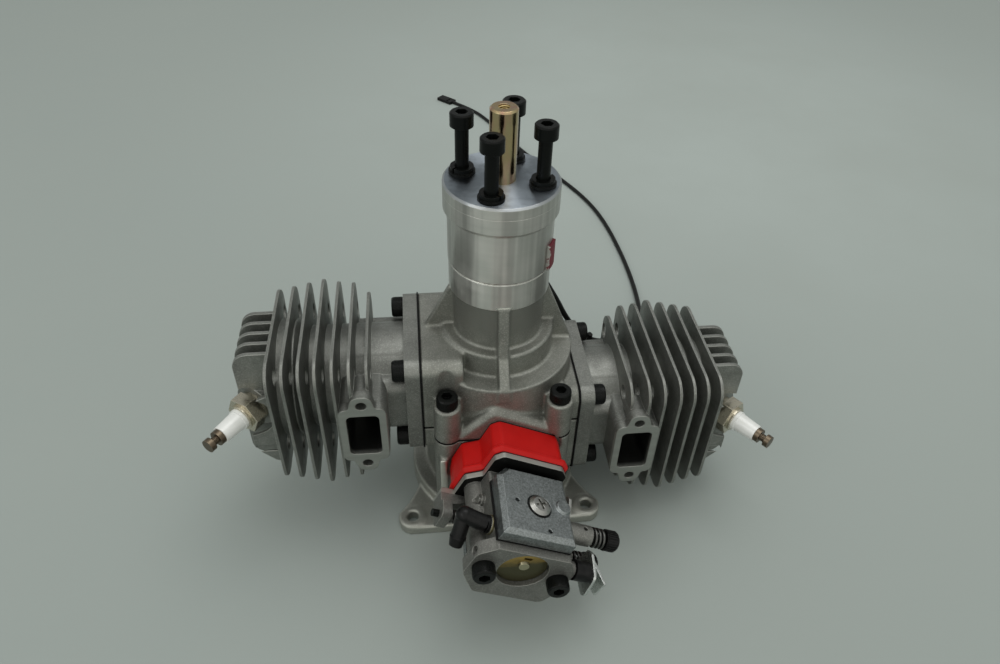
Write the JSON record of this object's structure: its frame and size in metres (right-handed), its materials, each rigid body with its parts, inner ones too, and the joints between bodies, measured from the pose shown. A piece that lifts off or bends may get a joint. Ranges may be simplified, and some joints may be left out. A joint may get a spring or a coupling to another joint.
{
  "type": "flat aircraft engine",
  "caption": "Horizontally opposed two-stroke model aircraft engine with finned cylinders, bolted propeller hub, tilted diaphragm carburettor and a footed crankcase.",
  "frame": {"origin": "centre of the four foot holes in the mounting plane, on the crankshaft axis", "axes": "+Z along the crankshaft to the propeller, +X to the cylinder nearer the feet, -Y to the carburettor and exhaust side"},
  "size_m": [0.2358, 0.5158, 0.1841],
  "materials": {
    "cast_aluminium": "bead-blasted casting",
    "turned_aluminium": "bright turned",
    "black_steel": "black oxide",
    "ground_steel": "ground",
    "nickel_steel": "nickel plated",
    "gilt_steel": "yellow passivated",
    "piston_alloy": "machined",
    "zinc": "die cast, blue grey",
    "brass": "dull brass",
    "terminal_brass": "browned",
    "ceramic": "glazed white",
    "red_plastic": "moulded",
    "red_paint": "lacquer",
    "black_plastic": "moulded",
    "gasket": "gasket sheet",
    "seal_rubber": "moulded",
    "cable_jacket": "satin",
    "magnet": "plated",
    "reed": "spring sheet"
  },
  "bodies": {
    "engine_block": {"crankcase_front": "cast_aluminium", "crankcase_rear": "cast_aluminium", "crankcase_gaskets": "gasket", "case_bolts": "black_steel", "bearing_outer_rings": "ground_steel", "shaft_seal": "seal_rubber", "left_cylinder": "cast_aluminium", "right_cylinder": "cast_aluminium", "cylinder_bolts": "black_steel", "plug_shells": "nickel_steel", "plug_insulators": "ceramic", "plug_terminals": "terminal_brass", "intake_isolator": "red_plastic", "intake_gaskets": "gasket", "reed_cage": "cast_aluminium", "reed_petals": "reed", "carb_body": "cast_aluminium", "pump_cover": "zinc", "metering_cover": "zinc", "carb_cover_gaskets": "gasket", "carb_cover_screws": "nickel_steel", "fuel_elbow": "black_plastic", "carb_bolts": "black_steel", "adjuster_springs": "ground_steel", "sensor_body": "black_plastic", "sensor_bracket": "turned_aluminium", "sensor_screws": "black_steel", "sensor_cable": "cable_jacket", "cable_tie": "black_plastic", "sensor_plug": "black_plastic"},
    "crankshaft": {"crankshaft_front": "ground_steel", "crankshaft_rear": "ground_steel", "crank_centre_web": "ground_steel", "crank_pins": "ground_steel", "bearing_inner_rings": "ground_steel", "bearing_balls": "ground_steel", "prop_hub": "turned_aluminium", "timing_magnet": "magnet", "magnet_seal": "red_paint", "prop_washer": "turned_aluminium", "prop_bolts": "black_steel", "prop_bolt_washers": "black_steel", "pilot_shaft": "gilt_steel"},
    "left_piston_set": {"left_piston": "piston_alloy", "left_piston_ring": "ground_steel", "left_wrist_pin": "ground_steel"},
    "right_piston_set": {"right_piston": "piston_alloy", "right_piston_ring": "ground_steel", "right_wrist_pin": "ground_steel"},
    "throttle": {"throttle_shaft": "nickel_steel", "throttle_plate": "brass", "throttle_lever": "nickel_steel"},
    "choke": {"choke_shaft": "nickel_steel", "choke_plate": "brass", "choke_screw": "brass", "choke_bush": "black_plastic", "choke_lever": "nickel_steel"},
    "idle_adjuster": {"idle_screw": "black_steel"},
    "high_speed_adjuster": {"high_speed_needle": "black_plastic"},
    "low_speed_adjuster": {"low_speed_needle": "black_plastic"}
  },
  "joints": [
    {"name": "crank_turn", "type": "hinge", "parent": "engine_block", "child": "crankshaft", "pos_m": [0, 0, 0.08], "axis": [0, 0, 1], "continuous": true},
    {"name": "left_piston_stroke", "type": "slide", "parent": "engine_block", "child": "left_piston_set", "axis": [1, 0, 0], "range_m": [0, 0.03]},
    {"name": "right_piston_stroke", "type": "slide", "parent": "engine_block", "child": "right_piston_set", "axis": [-1, 0, 0], "range_m": [0, 0.03]},
    {"name": "throttle_turn", "type": "hinge", "parent": "engine_block", "child": "throttle", "pos_m": [0.0028, -0.062, 0.04521], "axis": [0.9018, 0, -0.4321], "range_deg": [0, 70]},
    {"name": "choke_turn", "type": "hinge", "parent": "engine_block", "child": "choke", "pos_m": [0.0028, -0.085, 0.04521], "axis": [0.9018, 0, -0.4321], "range_deg": [0, 75]},
    {"name": "idle_screw_turn", "type": "hinge", "parent": "engine_block", "child": "idle_adjuster", "pos_m": [-0.0267, -0.061, 0.04381], "axis": [0.9018, 0, -0.4321], "range_deg": [-180, 180]},
    {"name": "high_needle_turn", "type": "hinge", "parent": "engine_block", "child": "high_speed_adjuster", "pos_m": [0.01848, -0.072, 0.04323], "axis": [0.9018, 0, -0.4321], "range_deg": [-90, 270]},
    {"name": "low_needle_turn", "type": "hinge", "parent": "engine_block", "child": "low_speed_adjuster", "pos_m": [0.01135, -0.072, 0.02835], "axis": [0.9018, 0, -0.4321], "range_deg": [-90, 270]}
  ]
}
